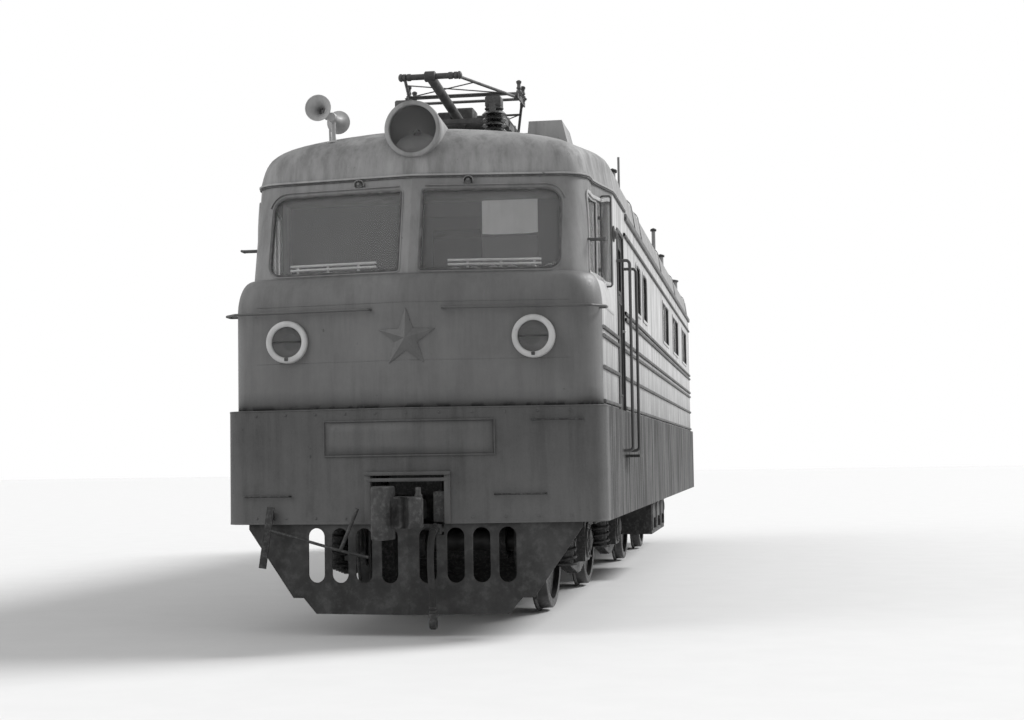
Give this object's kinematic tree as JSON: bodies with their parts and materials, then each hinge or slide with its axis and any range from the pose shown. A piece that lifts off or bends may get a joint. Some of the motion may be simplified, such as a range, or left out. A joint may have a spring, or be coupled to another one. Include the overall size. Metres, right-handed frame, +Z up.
{
  "type": "electric locomotive section",
  "caption": "Single-cab main-line electric locomotive section on two two-axle bogies, with hollow cab, swinging doors, plow, couplers and a lowering diamond pantograph.",
  "frame": {"origin": "bottom centre of the whole locomotive, level with the lowest point of the wheel flanges", "axes": "+Z up, -Y towards the cab front, +X to the right of someone who faces the cab front"},
  "size_m": [3.42, 16.66, 5.0509],
  "materials": {
    "body_paint": "satin, weathered",
    "apron_paint": "satin, dusty",
    "roof_paint": "matt, stained",
    "trim_paint": "satin",
    "underframe_black": "matt, oily dust",
    "cast_steel": "rough cast",
    "wheel_steel": "worn tread",
    "hose_rubber": "matt",
    "insulator_glaze": "glazed porcelain",
    "pantograph_paint": "matt",
    "window_glass": "clear, dusty",
    "cab_interior": "satin",
    "machine_paint": "satin",
    "seat_leather": "worn"
  },
  "bodies": {
    "carbody": {"underframe": "underframe_black", "front_apron": "apron_paint", "skirts": "apron_paint", "cab_nose": "body_paint", "cab_window_band": "body_paint", "cab_roof": "roof_paint", "wall_left": "body_paint", "wall_right": "body_paint", "glazing": "window_glass", "main_roof": "roof_paint", "end_wall": "body_paint", "rear_apron": "apron_paint", "gangway_bellows": "hose_rubber", "bulkheads": "cab_interior", "transformer": "machine_paint", "machine_cabinets": "machine_paint", "driver_desk": "cab_interior", "cab_seats": "seat_leather", "headlight": "body_paint", "marker_lamps": "trim_paint", "front_star": "trim_paint", "number_plate": "trim_paint", "handrails": "trim_paint", "door_steps": "underframe_black", "wind_deflectors": "body_paint", "plow": "underframe_black", "uncoupling_lever": "underframe_black", "hose_cocks": "underframe_black", "brake_hose_front": "hose_rubber", "brake_hose_rear": "hose_rubber", "hose_heads": "cast_steel", "battery_boxes": "underframe_black", "air_reservoirs": "underframe_black", "horns": "cast_steel", "roof_fittings": "roof_paint", "roof_hatches": "roof_paint", "high_voltage_gear": "insulator_glaze", "pantograph_insulators": "insulator_glaze", "pantograph_base": "pantograph_paint"},
    "cab_door_left": {"cab_door_left": "body_paint"},
    "cab_door_right": {"cab_door_right": "body_paint"},
    "gangway_door": {"gangway_door": "body_paint"},
    "coupler_front": {"coupler_front": "cast_steel"},
    "coupler_rear": {"coupler_rear": "cast_steel"},
    "pantograph_arm_front": {"pantograph_arm_front": "pantograph_paint"},
    "pantograph_arm_rear": {"pantograph_arm_rear": "pantograph_paint"},
    "pantograph_frame_front": {"pantograph_frame_front": "pantograph_paint"},
    "pantograph_frame_rear": {"pantograph_frame_rear": "pantograph_paint"},
    "pantograph_head": {"pantograph_head": "pantograph_paint"},
    "bogie_front": {"bogie_frame_front": "underframe_black", "running_gear_front": "underframe_black", "traction_motors_front": "underframe_black"},
    "bogie_rear": {"bogie_frame_rear": "underframe_black", "running_gear_rear": "underframe_black", "traction_motors_rear": "underframe_black"},
    "wheelset_1": {"wheelset_1": "wheel_steel"},
    "wheelset_2": {"wheelset_2": "wheel_steel"},
    "wheelset_3": {"wheelset_3": "wheel_steel"},
    "wheelset_4": {"wheelset_4": "wheel_steel"}
  },
  "joints": [
    {"name": "bogie_front_yaw", "type": "hinge", "parent": "carbody", "child": "bogie_front", "pos_m": [0, -3.75, 0.928], "axis": [0, 0, 1], "range_deg": [-2.5, 2.5]},
    {"name": "bogie_rear_yaw", "type": "hinge", "parent": "carbody", "child": "bogie_rear", "pos_m": [0, 3.75, 0.928], "axis": [0, 0, 1], "range_deg": [-2.5, 2.5]},
    {"name": "wheelset_1_spin", "type": "hinge", "parent": "bogie_front", "child": "wheelset_1", "pos_m": [0, -5.25, 0.653], "axis": [1, 0, 0], "continuous": true},
    {"name": "wheelset_2_spin", "type": "hinge", "parent": "bogie_front", "child": "wheelset_2", "pos_m": [0, -2.25, 0.653], "axis": [1, 0, 0], "continuous": true},
    {"name": "wheelset_3_spin", "type": "hinge", "parent": "bogie_rear", "child": "wheelset_3", "pos_m": [0, 2.25, 0.653], "axis": [1, 0, 0], "continuous": true},
    {"name": "wheelset_4_spin", "type": "hinge", "parent": "bogie_rear", "child": "wheelset_4", "pos_m": [0, 5.25, 0.653], "axis": [1, 0, 0], "continuous": true},
    {"name": "cab_door_left_swing", "type": "hinge", "parent": "carbody", "child": "cab_door_left", "pos_m": [-1.485, -5.644, 2.628], "axis": [0, 0, 1], "range_deg": [-85, 0]},
    {"name": "cab_door_right_swing", "type": "hinge", "parent": "carbody", "child": "cab_door_right", "pos_m": [1.485, -5.644, 2.628], "axis": [0, 0, 1], "range_deg": [0, 85]},
    {"name": "gangway_door_swing", "type": "hinge", "parent": "carbody", "child": "gangway_door", "pos_m": [0.334, 7.545, 2.728], "axis": [0, 0, 1], "range_deg": [0, 85]},
    {"name": "coupler_front_swing", "type": "hinge", "parent": "carbody", "child": "coupler_front", "pos_m": [0, -7.18, 1.008], "axis": [0, 0, 1], "range_deg": [-6, 6]},
    {"name": "coupler_rear_swing", "type": "hinge", "parent": "carbody", "child": "coupler_rear", "pos_m": [0, 7.18, 1.008], "axis": [0, 0, 1], "range_deg": [-6, 6]},
    {"name": "pantograph_raise", "type": "hinge", "parent": "carbody", "child": "pantograph_arm_front", "pos_m": [0, -4.9, 4.64], "axis": [-1, 0, 0], "range_deg": [0, 38]},
    {"name": "pantograph_arm_rear_raise", "type": "hinge", "parent": "carbody", "child": "pantograph_arm_rear", "pos_m": [0, -4.5, 4.64], "axis": [1, 0, 0], "range_deg": [0, 38]},
    {"name": "pantograph_knee_front", "type": "hinge", "parent": "pantograph_arm_front", "child": "pantograph_frame_front", "pos_m": [0, -6.45453, 4.77054], "axis": [1, 0, 0], "range_deg": [0, 76]},
    {"name": "pantograph_knee_rear", "type": "hinge", "parent": "pantograph_arm_rear", "child": "pantograph_frame_rear", "pos_m": [0, -2.94547, 4.77054], "axis": [-1, 0, 0], "range_deg": [0, 76]},
    {"name": "pantograph_head_level", "type": "hinge", "parent": "pantograph_frame_front", "child": "pantograph_head", "pos_m": [0, -4.9, 4.90107], "axis": [-1, 0, 0], "range_deg": [0, 38]}
  ],
  "couplings": [
    {"joint": "pantograph_arm_rear_raise", "follows": "pantograph_raise", "ratio": 1},
    {"joint": "pantograph_knee_front", "follows": "pantograph_raise", "ratio": 2},
    {"joint": "pantograph_knee_rear", "follows": "pantograph_raise", "ratio": 2},
    {"joint": "pantograph_head_level", "follows": "pantograph_raise", "ratio": 1}
  ]
}
